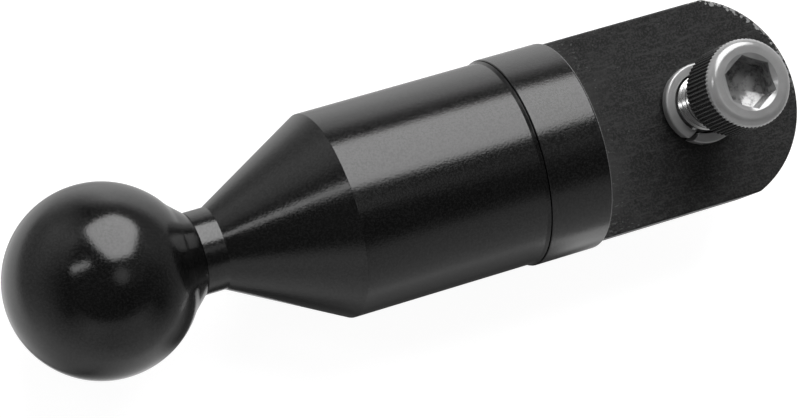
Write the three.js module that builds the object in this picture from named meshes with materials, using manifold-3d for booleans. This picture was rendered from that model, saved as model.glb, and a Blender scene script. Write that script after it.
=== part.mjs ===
// A ball-ended swivel rod end: a one-inch ball on a tapered barrel, a tongue that turns on a thrust
// ball bearing inside the barrel, and a socket cap screw with a split lock washer through the tongue.
// Millimetres. The origin is the centre of the ball, +X runs along the rod from the ball to the
// tongue, and +Z is the normal of the tongue's face that carries the cap screw.
import * as THREE from "three";
import { mergeVertices } from "three/addons/utils/BufferGeometryUtils.js";
import Module from "manifold-3d";

const wasm = await Module();
wasm.setup();

const INCH = 25.4;
const FIT = 0.1; // gap between pieces that touch on the real object
const ROD_CHAMFER = 0.6; // on the ends of the stud and the spindle

// Ball and the short taper that meets the barrel's neck
const BALL_RADIUS = INCH / 2;
const BALL_NOSE_ANGLE = 180; // degrees from +X
const BALL_TAPER_ANGLE = 36; // where the ball runs into its taper
const BALL_END = 12.45;
const NECK_RADIUS = 5.5;

// Barrel
const CONE_START = 15.5;
const CONE_END = 31.0;
const BARREL_RADIUS = 13.75;
const BARREL_LIP_START = 56.35;
const BARREL_LIP_RADIUS = 13.98;
const BARREL_FLARE_RADIUS = 13.81; // halfway along the lip
const BARREL_END = 57.0;
const BORE_RADIUS = 10.4;
const BORE_START = 34.0;

// Double-ended stud that joins ball and barrel
const STUD_RADIUS = INCH / 8;
const STUD_START = 3.6;
const STUD_END = 25.8;
const STUD_HOLE_RADIUS = STUD_RADIUS + 0.1;
const STUD_HOLE_MARGIN = 0.5; // from each end of the stud to the bottom of its hole

// Threaded gland that closes the bore
const GLAND_RADIUS = 11.4;
const GLAND_START = 49.3;
const GLAND_END = 56.4;
const SPANNER_HOLES = 4;
const SPANNER_HOLE_RADIUS = 0.8;
const SPANNER_HOLE_DEPTH = 2.5;
const SPANNER_PITCH_RADIUS = 9.2;

// Spindle
const SPINDLE_RADIUS = (3 / 16) * INCH;
const SPINDLE_END = 63.4;
const SPINDLE_HEAD_RADIUS = 9.6;
const SPINDLE_HEAD_START = 40.6;
const SPINDLE_HEAD_END = 43.3;
const SPINDLE_TAIL_RADIUS = 3.2;
const SPINDLE_TAIL_START = 34.7;

// Disc springs and their washer, behind the spindle's head
const REAR_WASHER_END = 35.0;
const REAR_WASHER_INNER_RADIUS = 3.6;
const REAR_WASHER_OUTER_RADIUS = 10.2;
const DISC_COUNT = 3;
const DISC_RADIUS = 9.5;
const DISC_HOLE_RADIUS = 3.5;
const DISC_THICKNESS = 0.9;
const DISC_DISH = 0.8;

// Thrust ball bearing
const BEARING_BALLS = 10;
const BEARING_BALL_RADIUS = 1.5;
const BEARING_PITCH_RADIUS = 7.5;
const BEARING_CENTRE = 46.35;
const BEARING_RUNNING_GAP = 0.07;
const RACE_INNER_RADIUS = 5.1;
const RACE_OUTER_RADIUS = 10.1;
const RACE_GROOVE_DEPTH = 0.3;
const CAGE_THICKNESS = 1.0;
const CAGE_INNER_RADIUS = 5.5;
const CAGE_OUTER_RADIUS = 9.5;
const CAGE_POCKET_RADIUS = 1.7;

// Bush and seal inside the gland, and the slip washer in front of it
const BUSH_INNER_RADIUS = SPINDLE_RADIUS + 0.08;
const BUSH_OUTER_RADIUS = 6.3;
const BUSH_END = 54.3;
const SEAL_CORD_RADIUS = 0.89;
const SEAL_CENTRE = 55.35;
const SEAL_POCKET_START = 54.4;
const SEAL_POCKET_RADIUS = 6.75;
const SLIP_WASHER_INNER_RADIUS = 7.2;

// Tongue end, a round collar with a flat tongue milled from the same bar
const BAR_RADIUS = 14.1;
const COLLAR_START = 57.15;
const COLLAR_END = 66.0;
const COLLAR_EDGE = 0.35;
const COLLAR_BORE_END = 64.2;
const COLLAR_BORE_CLEARANCE = 0.1;
const TONGUE_HALF_THICKNESS = (5 / 32) * INCH;
const TONGUE_HALF_WIDTH = (17 / 32) * INCH;
const TONGUE_TIP_RADIUS = 14.35;
const SCREW_X = 84.7;

// Cap screw through the tongue, and its split lock washer
const SCREW_RADIUS = 3.85;
const SCREW_HOLE_RADIUS = 4.05;
const SCREW_LENGTH = (3 / 4) * INCH;
const SCREW_LIFT = 9.7; // underside of the head above the tongue's face, partly unscrewed
const SCREW_POINT_CHAMFER = 0.7;
const SCREW_HEAD_RADIUS = 5.9;
const SCREW_HEAD_HEIGHT = (5 / 16) * INCH;
const SCREW_HEAD_CHAMFER = 0.9;
const SCREW_SOCKET_FLATS = INCH / 4;
const SCREW_SOCKET_DEPTH = 4.2;
const LOCK_WASHER_INNER_RADIUS = 4.12;
const LOCK_WASHER_OUTER_RADIUS = 5.45;
const LOCK_WASHER_THICKNESS = 1.85;
const LOCK_WASHER_SPLIT_ANGLE = 232; // degrees about the screw, from +X
const LOCK_WASHER_SPLIT_WIDTH = 9; // degrees

// Grub screw that locks the collar on the spindle
const GRUB_X = 61.0;
const GRUB_RADIUS = 2.0;
const GRUB_HOLE_RADIUS = 2.1;
const GRUB_OUTER_Z = 13.3;
const GRUB_INNER_Z = 5.0;
const GRUB_SOCKET_FLATS = 2.0;
const GRUB_SOCKET_DEPTH = 2.2;
const GRUB_SEGMENTS = 20;

const OUTER_SEGMENTS = 48; // round the pieces that show
const INNER_SEGMENTS = 32;
const SMALL_SEGMENTS = 12; // small holes and the bearing balls
const CUT = 1; // how far a cutter runs past the face that it opens

const MATERIALS = {
  black_anodised: { color: 0x0c0c0d, roughness: 0.22, metalness: 0.6 },
  bare_steel: { color: 0x9a9a9a, roughness: 0.3, metalness: 1.0 },
  dark_steel: { color: 0x5a5c60, roughness: 0.35, metalness: 1.0 },
  bearing_steel: { color: 0xb4b6b8, roughness: 0.15, metalness: 1.0 },
  bronze: { color: 0xa87a3c, roughness: 0.35, metalness: 1.0 },
  acetal: { color: 0xe4e2da, roughness: 0.5, metalness: 0.0 },
  nitrile: { color: 0x151515, roughness: 0.7, metalness: 0.0 },
};

const object = new THREE.Group();

function addPiece(name, geometry, materialName, position = [0, 0, 0]) {
  const material = new THREE.MeshStandardMaterial(MATERIALS[materialName]);
  const mesh = new THREE.Mesh(geometry, material);
  mesh.name = name;
  mesh.position.set(...position);
  object.add(mesh);
}

function radians(degrees) {
  return (degrees * Math.PI) / 180;
}

// A solid of revolution about +X from a closed outline of [x, radius] points. The outline runs to +X
// along the axis or a bore, and comes back along the outside.
function turned(outline, segments = INNER_SEGMENTS) {
  const points = outline.map(([x, radius]) => new THREE.Vector2(radius, x));
  points.reverse();
  return new THREE.LatheGeometry(points, segments).rotateZ(-Math.PI / 2);
}

// The same about +Z, from [z, radius] points.
function turnedUpright(outline, segments = INNER_SEGMENTS) {
  return turned(outline, segments).rotateY(-Math.PI / 2);
}

function closed(outline) {
  return [...outline, outline[0]];
}

function ring(start, end, innerRadius, outerRadius) {
  return turned(
    closed([
      [start, innerRadius],
      [end, innerRadius],
      [end, outerRadius],
      [start, outerRadius],
    ]),
  );
}

function arc(centreX, centreRadius, radius, fromDegrees, toDegrees, steps) {
  const points = [];
  for (let step = 0; step <= steps; step += 1) {
    const angle = radians(fromDegrees + ((toDegrees - fromDegrees) * step) / steps);
    const height = Math.max(0, centreRadius + radius * Math.sin(angle));
    points.push([centreX + radius * Math.cos(angle), height]);
  }
  return points;
}

function circle(radius, points, startAngle = 0) {
  const outline = [];
  for (let index = 0; index < points; index += 1) {
    const angle = startAngle + (2 * Math.PI * index) / points;
    outline.push(new THREE.Vector2(radius * Math.cos(angle), radius * Math.sin(angle)));
  }
  return outline;
}

// A straight prism along +Z, from z = 0 to depth.
function prism(outline, depth, holes = []) {
  const shape = new THREE.Shape(outline);
  shape.holes = holes.map((hole) => new THREE.Path(hole));
  return new THREE.ExtrudeGeometry(shape, { depth, bevelEnabled: false });
}

function hexPrism(acrossFlats, depth) {
  return prism(circle(acrossFlats / Math.sqrt(3), 6, Math.PI / 2), depth);
}

function toSolid(geometry) {
  const bare = geometry.clone();
  bare.deleteAttribute("normal");
  bare.deleteAttribute("uv");
  const merged = mergeVertices(bare, 1e-4);
  const corners = merged.index.array;
  const kept = [];
  for (let index = 0; index < corners.length; index += 3) {
    const [a, b, c] = corners.subarray(index, index + 3);
    if (a !== b && b !== c && c !== a) {
      kept.push(a, b, c);
    }
  }
  return new wasm.Manifold(
    new wasm.Mesh({
      numProp: 3,
      vertProperties: new Float32Array(merged.attributes.position.array),
      triVerts: new Uint32Array(kept),
    }),
  );
}

function toGeometry(solid) {
  const mesh = solid.getMesh();
  const geometry = new THREE.BufferGeometry();
  geometry.setAttribute("position", new THREE.BufferAttribute(mesh.vertProperties, 3));
  geometry.setIndex(new THREE.BufferAttribute(mesh.triVerts, 1));
  geometry.computeVertexNormals();
  return geometry;
}

function cutAway(body, cutters) {
  return toGeometry(cutters.reduce((solid, cutter) => solid.subtract(toSolid(cutter)), toSolid(body)));
}

// The ball, with a short taper towards the neck and a blind hole for the stud
function ballEnd() {
  return turned(
    closed([
      [-BALL_RADIUS, 0],
      [STUD_START - STUD_HOLE_MARGIN, 0],
      [STUD_START - STUD_HOLE_MARGIN, STUD_HOLE_RADIUS],
      [BALL_END, STUD_HOLE_RADIUS],
      [BALL_END, NECK_RADIUS],
      ...arc(0, 0, BALL_RADIUS, BALL_TAPER_ANGLE, BALL_NOSE_ANGLE, 14).slice(0, -1),
    ]),
    OUTER_SEGMENTS,
  );
}

function ballStud() {
  return turned(
    closed([
      [STUD_START, 0],
      [STUD_END, 0],
      [STUD_END, STUD_RADIUS - ROD_CHAMFER],
      [STUD_END - ROD_CHAMFER, STUD_RADIUS],
      [STUD_START + ROD_CHAMFER, STUD_RADIUS],
      [STUD_START, STUD_RADIUS - ROD_CHAMFER],
    ]),
  );
}

// The barrel: neck, taper and cylinder outside, a stud hole at one end and the bearing's bore at the other
function barrelHousing() {
  const neckStart = BALL_END + FIT;
  const studHoleEnd = STUD_END + STUD_HOLE_MARGIN;
  const glandSeat = GLAND_START - FIT;
  const glandBore = GLAND_RADIUS + FIT;
  return turned(
    closed([
      [neckStart, STUD_HOLE_RADIUS],
      [studHoleEnd, STUD_HOLE_RADIUS],
      [studHoleEnd, 0],
      [BORE_START, 0],
      [BORE_START, BORE_RADIUS],
      [glandSeat, BORE_RADIUS],
      [glandSeat, glandBore],
      [BARREL_END, glandBore],
      [BARREL_END, BARREL_LIP_RADIUS],
      [(BARREL_LIP_START + BARREL_END) / 2, BARREL_FLARE_RADIUS],
      [BARREL_LIP_START, BARREL_RADIUS],
      [CONE_END, BARREL_RADIUS],
      [CONE_START, NECK_RADIUS],
      [neckStart, NECK_RADIUS],
    ]),
    OUTER_SEGMENTS,
  );
}

// Where a hole or ball sits round the rod's axis, as [y, z]
function aroundRod(index, count, pitchRadius) {
  const angle = (2 * Math.PI * index) / count;
  return [pitchRadius * Math.cos(angle), pitchRadius * Math.sin(angle)];
}

function glandRing() {
  const body = turned(
    closed([
      [GLAND_START, BUSH_OUTER_RADIUS + FIT],
      [SEAL_POCKET_START, BUSH_OUTER_RADIUS + FIT],
      [SEAL_POCKET_START, SEAL_POCKET_RADIUS],
      [GLAND_END, SEAL_POCKET_RADIUS],
      [GLAND_END, GLAND_RADIUS],
      [GLAND_START, GLAND_RADIUS],
    ]),
  );
  const spannerHoles = [];
  for (let index = 0; index < SPANNER_HOLES; index += 1) {
    const [y, z] = aroundRod(index, SPANNER_HOLES, SPANNER_PITCH_RADIUS);
    const hole = prism(circle(SPANNER_HOLE_RADIUS, SMALL_SEGMENTS), SPANNER_HOLE_DEPTH + CUT).rotateY(Math.PI / 2);
    spannerHoles.push(hole.translate(GLAND_END - SPANNER_HOLE_DEPTH, y, z));
  }
  return cutAway(body, spannerHoles);
}

// Tail for the disc springs, head for the bearing, and a shaft that screws into the collar
function spindle() {
  return turned(
    closed([
      [SPINDLE_TAIL_START, 0],
      [SPINDLE_END, 0],
      [SPINDLE_END, SPINDLE_RADIUS - ROD_CHAMFER],
      [SPINDLE_END - ROD_CHAMFER, SPINDLE_RADIUS],
      [SPINDLE_HEAD_END, SPINDLE_RADIUS],
      [SPINDLE_HEAD_END, SPINDLE_HEAD_RADIUS],
      [SPINDLE_HEAD_START, SPINDLE_HEAD_RADIUS],
      [SPINDLE_HEAD_START, SPINDLE_TAIL_RADIUS],
      [SPINDLE_TAIL_START, SPINDLE_TAIL_RADIUS],
    ]),
  );
}

// Every other disc faces the other way, so the stack springs
function discSpring(index) {
  const start = REAR_WASHER_END + FIT + index * (DISC_THICKNESS + DISC_DISH + FIT);
  const innerStart = index % 2 === 0 ? start + DISC_DISH : start;
  const outerStart = index % 2 === 0 ? start : start + DISC_DISH;
  return turned(
    closed([
      [innerStart, DISC_HOLE_RADIUS],
      [innerStart + DISC_THICKNESS, DISC_HOLE_RADIUS],
      [outerStart + DISC_THICKNESS, DISC_RADIUS],
      [outerStart, DISC_RADIUS],
    ]),
  );
}

const GROOVE_RADIUS = BEARING_BALL_RADIUS + BEARING_RUNNING_GAP;
const RACE_FACE_OFFSET = GROOVE_RADIUS - RACE_GROOVE_DEPTH;
const GROOVE_HALF_ANGLE = (Math.acos(RACE_FACE_OFFSET / GROOVE_RADIUS) * 180) / Math.PI;

function groove(middleAngle) {
  const from = middleAngle + GROOVE_HALF_ANGLE;
  const to = middleAngle - GROOVE_HALF_ANGLE;
  return arc(BEARING_CENTRE, BEARING_PITCH_RADIUS, GROOVE_RADIUS, from, to, 3);
}

function shaftRace() {
  const back = SPINDLE_HEAD_END + FIT;
  const face = BEARING_CENTRE - RACE_FACE_OFFSET;
  return turned(
    closed([
      [back, RACE_INNER_RADIUS],
      [face, RACE_INNER_RADIUS],
      ...groove(180),
      [face, RACE_OUTER_RADIUS],
      [back, RACE_OUTER_RADIUS],
    ]),
  );
}

function housingRace() {
  const back = GLAND_START - FIT;
  const face = BEARING_CENTRE + RACE_FACE_OFFSET;
  return turned(
    closed([
      [face, RACE_INNER_RADIUS],
      [back, RACE_INNER_RADIUS],
      [back, RACE_OUTER_RADIUS],
      [face, RACE_OUTER_RADIUS],
      ...groove(0),
    ]),
  );
}

// A flat ring with one round pocket for each ball
function ballCage() {
  const holes = [circle(CAGE_INNER_RADIUS, INNER_SEGMENTS)];
  for (let index = 0; index < BEARING_BALLS; index += 1) {
    const [y, z] = aroundRod(index, BEARING_BALLS, BEARING_PITCH_RADIUS);
    const centre = new THREE.Vector2(-z, y);
    holes.push(circle(CAGE_POCKET_RADIUS, SMALL_SEGMENTS).map((point) => point.add(centre)));
  }
  const ring = prism(circle(CAGE_OUTER_RADIUS, INNER_SEGMENTS), CAGE_THICKNESS, holes);
  return ring.rotateY(Math.PI / 2).translate(BEARING_CENTRE - CAGE_THICKNESS / 2, 0, 0);
}

function sealRing() {
  const centreRadius = BUSH_INNER_RADIUS + SEAL_CORD_RADIUS;
  return turned(arc(SEAL_CENTRE, centreRadius, SEAL_CORD_RADIUS, 0, 360, 10));
}

// A collar of full round bar, with the tongue milled flat on all four sides beyond it
function tongueEnd() {
  const collar = turned(
    closed([
      [COLLAR_START, 0],
      [COLLAR_END, 0],
      [COLLAR_END, BAR_RADIUS - COLLAR_EDGE],
      [COLLAR_END - COLLAR_EDGE, BAR_RADIUS],
      [COLLAR_START + COLLAR_EDGE, BAR_RADIUS],
      [COLLAR_START, BAR_RADIUS - COLLAR_EDGE],
    ]),
    OUTER_SEGMENTS,
  );
  const overlap = COLLAR_START + 2;
  const tipCorner = Math.asin(TONGUE_HALF_WIDTH / TONGUE_TIP_RADIUS);
  const plan = new THREE.Shape();
  plan.moveTo(overlap, -TONGUE_HALF_WIDTH);
  plan.absarc(SCREW_X, 0, TONGUE_TIP_RADIUS, -tipCorner, tipCorner, false);
  plan.lineTo(overlap, TONGUE_HALF_WIDTH);
  const tongue = new THREE.ExtrudeGeometry(plan, {
    depth: 2 * TONGUE_HALF_THICKNESS,
    bevelEnabled: false,
    curveSegments: 24,
  });
  tongue.translate(0, 0, -TONGUE_HALF_THICKNESS);
  const body = toGeometry(toSolid(collar).add(toSolid(tongue)));

  const boreRadius = SPINDLE_RADIUS + COLLAR_BORE_CLEARANCE;
  const boreStart = COLLAR_START - CUT;
  const bore = turned(
    closed([
      [boreStart, 0],
      [COLLAR_BORE_END, 0],
      [COLLAR_BORE_END, boreRadius],
      [boreStart, boreRadius],
    ]),
  );
  const cutDepth = 2 * (TONGUE_HALF_THICKNESS + CUT);
  const screwHole = prism(circle(SCREW_HOLE_RADIUS, INNER_SEGMENTS), cutDepth);
  screwHole.translate(SCREW_X, 0, -cutDepth / 2);
  const grubHole = prism(circle(GRUB_HOLE_RADIUS, GRUB_SEGMENTS), BAR_RADIUS);
  grubHole.translate(GRUB_X, 0, -BAR_RADIUS - CUT);
  return cutAway(body, [bore, screwHole, grubHole]);
}

// Modelled about its own axis, with z = 0 at the underside of the head
function capScrew() {
  const body = turnedUpright(
    closed([
      [-SCREW_LENGTH, 0],
      [SCREW_HEAD_HEIGHT, 0],
      [SCREW_HEAD_HEIGHT, SCREW_HEAD_RADIUS - SCREW_HEAD_CHAMFER],
      [SCREW_HEAD_HEIGHT - SCREW_HEAD_CHAMFER, SCREW_HEAD_RADIUS],
      [0, SCREW_HEAD_RADIUS],
      [0, SCREW_RADIUS],
      [-SCREW_LENGTH + SCREW_POINT_CHAMFER, SCREW_RADIUS],
      [-SCREW_LENGTH, SCREW_RADIUS - SCREW_POINT_CHAMFER],
    ]),
  );
  const socket = hexPrism(SCREW_SOCKET_FLATS, SCREW_SOCKET_DEPTH + CUT);
  return cutAway(body, [socket.translate(0, 0, SCREW_HEAD_HEIGHT - SCREW_SOCKET_DEPTH)]);
}

function lockWasher() {
  const from = radians(LOCK_WASHER_SPLIT_ANGLE + LOCK_WASHER_SPLIT_WIDTH / 2);
  const to = radians(LOCK_WASHER_SPLIT_ANGLE + 360 - LOCK_WASHER_SPLIT_WIDTH / 2);
  const ring = new THREE.Shape();
  ring.absarc(0, 0, LOCK_WASHER_OUTER_RADIUS, from, to, false);
  ring.absarc(0, 0, LOCK_WASHER_INNER_RADIUS, to, from, true);
  return new THREE.ExtrudeGeometry(ring, {
    depth: LOCK_WASHER_THICKNESS,
    bevelEnabled: false,
    curveSegments: INNER_SEGMENTS,
  });
}

function grubScrew() {
  const body = turnedUpright(
    closed([
      [-GRUB_OUTER_Z, 0],
      [-GRUB_INNER_Z, 0],
      [-GRUB_INNER_Z, GRUB_RADIUS / 2],
      [-GRUB_INNER_Z - GRUB_RADIUS / 2, GRUB_RADIUS],
      [-GRUB_OUTER_Z, GRUB_RADIUS],
    ]),
    GRUB_SEGMENTS,
  );
  const socket = hexPrism(GRUB_SOCKET_FLATS, GRUB_SOCKET_DEPTH + CUT);
  return cutAway(body, [socket.translate(0, 0, -GRUB_OUTER_Z - CUT)]);
}

addPiece("ball_end", ballEnd(), "black_anodised");
addPiece("ball_stud", ballStud(), "dark_steel");
addPiece("barrel_housing", barrelHousing(), "black_anodised");
addPiece(
  "rear_washer",
  ring(BORE_START + FIT, REAR_WASHER_END, REAR_WASHER_INNER_RADIUS, REAR_WASHER_OUTER_RADIUS),
  "acetal",
);
for (let index = 0; index < DISC_COUNT; index += 1) {
  addPiece(`disc_spring_${index + 1}`, discSpring(index), "dark_steel");
}
addPiece("spindle", spindle(), "bare_steel");
addPiece("shaft_race", shaftRace(), "bearing_steel");
addPiece("ball_cage", ballCage(), "bronze");
for (let index = 0; index < BEARING_BALLS; index += 1) {
  const [y, z] = aroundRod(index, BEARING_BALLS, BEARING_PITCH_RADIUS);
  const ball = new THREE.SphereGeometry(BEARING_BALL_RADIUS, SMALL_SEGMENTS, SMALL_SEGMENTS);
  addPiece(`bearing_ball_${index + 1}`, ball, "bearing_steel", [BEARING_CENTRE, y, z]);
}
addPiece("housing_race", housingRace(), "bearing_steel");
addPiece("gland_ring", glandRing(), "bare_steel");
addPiece(
  "spindle_bush",
  ring(GLAND_START + FIT, BUSH_END, BUSH_INNER_RADIUS, BUSH_OUTER_RADIUS),
  "bronze",
);
addPiece("seal_ring", sealRing(), "nitrile");
addPiece(
  "slip_washer",
  ring(GLAND_END + FIT, COLLAR_START - FIT, SLIP_WASHER_INNER_RADIUS, GLAND_RADIUS - FIT),
  "acetal",
);
addPiece("tongue_end", tongueEnd(), "black_anodised");
addPiece("grub_screw", grubScrew(), "dark_steel", [GRUB_X, 0, 0]);
addPiece("lock_washer", lockWasher(), "bare_steel", [SCREW_X, 0, TONGUE_HALF_THICKNESS + FIT]);
addPiece("cap_screw", capScrew(), "bare_steel", [SCREW_X, 0, TONGUE_HALF_THICKNESS + SCREW_LIFT]);

export default object;
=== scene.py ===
"""A ball-ended swivel rod end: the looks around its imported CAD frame.

Sizes are in millimetres until a mesh is made, in the part's own frame: the origin is the ball's
centre, +X runs along the rod to the tongue, and +Z is the side of the tongue that carries the screw.
"""

import math

import bmesh
import bpy
import numpy as np
from mathutils import Matrix, Vector


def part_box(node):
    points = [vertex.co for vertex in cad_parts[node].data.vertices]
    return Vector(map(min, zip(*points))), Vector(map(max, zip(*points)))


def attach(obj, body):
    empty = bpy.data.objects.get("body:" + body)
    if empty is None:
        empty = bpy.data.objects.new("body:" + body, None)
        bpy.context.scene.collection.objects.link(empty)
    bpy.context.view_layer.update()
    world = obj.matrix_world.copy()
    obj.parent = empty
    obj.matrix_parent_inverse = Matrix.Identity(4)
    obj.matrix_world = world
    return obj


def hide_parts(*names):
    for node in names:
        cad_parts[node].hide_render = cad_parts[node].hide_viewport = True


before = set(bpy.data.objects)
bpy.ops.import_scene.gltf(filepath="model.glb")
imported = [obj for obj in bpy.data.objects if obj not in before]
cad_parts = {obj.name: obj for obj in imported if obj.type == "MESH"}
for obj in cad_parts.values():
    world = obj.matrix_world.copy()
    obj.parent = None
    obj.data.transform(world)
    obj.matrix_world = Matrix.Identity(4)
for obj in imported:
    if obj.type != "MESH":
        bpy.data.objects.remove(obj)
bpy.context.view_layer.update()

MM = 0.001
TAU = 2 * math.pi


def span(node):
    """The lowest and highest corner of a CAD node, in millimetres."""
    low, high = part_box(node)
    return low / MM, high / MM


# ---------------------------------------------------------------- sizes

FIT = 0.1  # clearance between an inner piece and its seat

BALL_LOW, BALL_HIGH = span("ball_end")
BALL_RADIUS = -BALL_LOW.x
BALL_END = BALL_HIGH.x
BALL_TAPER_ANGLE = 36  # degrees from +X, where the ball runs into its taper
NECK_RADIUS = 5.5

BARREL_LOW, BARREL_HIGH = span("barrel_housing")
CONE_START = 15.5
CONE_END = 31.0
BARREL_RADIUS = 13.75
LIP_START = 56.35

STUD_LOW, STUD_HIGH = span("ball_stud")
STUD_HOLE_RADIUS = STUD_HIGH.y + FIT
STUD_HOLE_MARGIN = 0.5
STUD_THREAD_PITCH = 1.27
STUD_THREAD_DEPTH = 0.55
STUD_CHAMFER = 0.6
BORE_RADIUS = 10.4
BORE_START = 34.0

GLAND_LOW, GLAND_HIGH = span("gland_ring")
BUSH_HIGH = span("spindle_bush")[1]
SEAL_LOW, SEAL_HIGH = span("seal_ring")
BUSH_HOLE_RADIUS = 4.84
SEAL_POCKET_START = 54.4
SEAL_POCKET_RADIUS = 6.75
SPANNER_HOLE_RADIUS = 0.8
SPANNER_HOLE_DEPTH = 2.5
SPANNER_PITCH_RADIUS = 9.2

SPINDLE_LOW, SPINDLE_HIGH = span("spindle")
SPINDLE_RADIUS = 4.7625
SPINDLE_TAIL_RADIUS = 3.2
SPINDLE_HEAD_START = 40.6
SPINDLE_HEAD_END = 43.3

DISC_THICKNESS = 0.9
DISC_HOLE_RADIUS = 3.5
REAR_WASHER_HOLE_RADIUS = 3.6

BEARING_BALLS = 10
BEARING_PITCH_RADIUS = 7.5
BEARING_CENTRE = 46.35
RACE_HOLE_RADIUS = 5.1
RACE_GROOVE_DEPTH = 0.3
RACE_GROOVE_RADIUS = 1.57
CAGE_HOLE_RADIUS = 5.5
CAGE_POCKET_RADIUS = 1.7

COLLAR_LOW, TONGUE_HIGH = span("tongue_end")
BAR_RADIUS = TONGUE_HIGH.z
COLLAR_END = 66.0
COLLAR_BORE_END = 64.2
TONGUE_HALF_THICKNESS = 3.96875
TONGUE_HALF_WIDTH = 13.49375

SCREW_LOW, SCREW_HIGH = span("cap_screw")
SCREW_HEAD_RADIUS = SCREW_HIGH.y
SCREW_X = (SCREW_LOW.x + SCREW_HIGH.x) / 2
SCREW_HEAD_HEIGHT = 7.9375
SCREW_RADIUS = 3.85
SCREW_PITCH = 25.4 / 18
SCREW_SOCKET_FLATS = 6.35
SCREW_SOCKET_DEPTH = 4.2
SCREW_THREAD_DEPTH = 0.72
SCREW_TIP_CHAMFER = 0.6
SCREW_HOLE_RADIUS = 4.05
SCREW_HOLE_THREAD_DEPTH = 0.45
SCREW_HOLE_CHAMFER = 0.5
TONGUE_TIP_RADIUS = TONGUE_HIGH.x - SCREW_X

WASHER_LOW, WASHER_HIGH = span("lock_washer")
WASHER_HOLE_RADIUS = 4.12
WASHER_OUTER_RADIUS = 5.45
WASHER_SPLIT_ANGLE = 232  # degrees about the screw, from +X
WASHER_SPLIT_WIDTH = 9

SLIP_HOLE_RADIUS = 7.2

GRUB_LOW, GRUB_HIGH = span("grub_screw")
GRUB_X = (GRUB_LOW.x + GRUB_HIGH.x) / 2
GRUB_RADIUS = 2.0
GRUB_SOCKET_FLATS = 2.0
GRUB_SOCKET_DEPTH = 2.2
GRUB_SOCKET_MOUTH = 1.25
GRUB_THREAD_PITCH = 0.7

SEAM = 0.03  # how far the ball and the barrel reach into the gaps between the CAD solids

FINE = 192  # steps round a piece that shows
COARSE = 96  # steps round an inner piece


# ---------------------------------------------------------------- outlines

def rounded(corners, step=15):
    """A closed outline through (along, out, rounding) corners, with each corner drawn as an arc."""
    points = [Vector(corner[:2]) for corner in corners]
    outline = []
    for index, corner in enumerate(corners):
        here = points[index]
        rounding = corner[2] if len(corner) > 2 else 0
        back = points[index - 1] - here
        on = points[(index + 1) % len(points)] - here
        turn = math.pi - back.angle(on)
        if rounding <= 0 or turn < 1e-4:
            outline.append(here)
            continue
        reach = rounding * math.tan(turn / 2)
        reach = min(reach, 0.49 * back.length, 0.49 * on.length)
        start = here + back.normalized() * reach
        end = here + on.normalized() * reach
        steps = max(2, math.ceil(math.degrees(turn) / step))
        to_centre = (back.normalized() + on.normalized()).normalized() * (reach / math.sin(turn / 2))
        spoke = start - here - to_centre
        bend = turn if spoke.cross(end - here - to_centre) > 0 else -turn
        for part in range(steps + 1):
            outline.append(here + to_centre + Matrix.Rotation(bend * part / steps, 2) @ spoke)
    return outline


def arc(along, out, radius, start, end, steps):
    """Points round a circle, from one angle to another, in degrees."""
    angles = np.radians(np.linspace(start, end, steps + 1))
    return [
        (along + radius * math.cos(a), max(0.0, out + radius * math.sin(a))) for a in angles
    ]


# ---------------------------------------------------------------- grids of points

def turned(outline, steps=COARSE, closed=True):
    """An outline of (x, radius) points turned about the rod's axis."""
    points = [tuple(point)[:2] for point in outline]
    if closed:
        points.append(points[0])
    along, out = np.array(points).T
    angles = np.linspace(0, TAU, steps + 1)
    grid = np.empty((len(points), steps + 1, 3))
    grid[:, :, 0] = along[:, None]
    grid[:, :, 1] = out[:, None] * np.cos(angles)
    grid[:, :, 2] = out[:, None] * np.sin(angles)
    return grid


def upright(rows, steps):
    """Rows of (radius, height), each a number or one for each step, round the +Z axis."""
    angles = np.linspace(0, TAU, steps + 1)
    grid = np.empty((len(rows), steps + 1, 3))
    for index, (radius, height) in enumerate(rows):
        grid[index, :, 0] = radius * np.cos(angles)
        grid[index, :, 1] = radius * np.sin(angles)
        grid[index, :, 2] = height
    return grid


def thread_height(turns):
    """How high a 60 degree thread stands at a share of its pitch, from 0 at the root to 1."""
    wave = np.abs((np.asarray(turns) % 1) * 2 - 1)
    return np.clip((wave - 0.12) / 0.72, 0, 1)


def threaded(start, end, crest, root, pitch, steps, per_turn=12):
    """A right-hand thread round +Z, as a grid whose rows follow the helix."""
    angles = np.linspace(0, TAU, steps + 1)
    shift = pitch * angles / TAU
    rows = int(math.ceil((end - start) / pitch)) * per_turn + per_turn
    grid = np.empty((rows + 1, steps + 1, 3))
    for row in range(rows + 1):
        height = start - pitch + pitch * row / per_turn + shift
        height = np.clip(height, start, end)
        radius = root + (crest - root) * thread_height((height - shift) / pitch)
        grid[row, :, 0] = radius * np.cos(angles)
        grid[row, :, 1] = radius * np.sin(angles)
        grid[row, :, 2] = height
    return grid


def thread_edge(height, crest, root, pitch, steps):
    """The radius of such a thread all round at one height."""
    shift = pitch * np.linspace(0, TAU, steps + 1) / TAU
    return root + (crest - root) * thread_height((height - shift) / pitch)


def hexagon(flats, steps):
    """The radius all round of a hexagon with a corner toward +Y."""
    angles = np.linspace(0, 360, steps + 1)
    return flats / 2 / np.cos(np.radians((angles + 30) % 60 - 30))


def along_rod(grid):
    """The same grid with +Z turned to +X, and +X to -Z."""
    return np.stack([grid[:, :, 2], grid[:, :, 1], -grid[:, :, 0]], axis=2)


# ---------------------------------------------------------------- meshes

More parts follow.
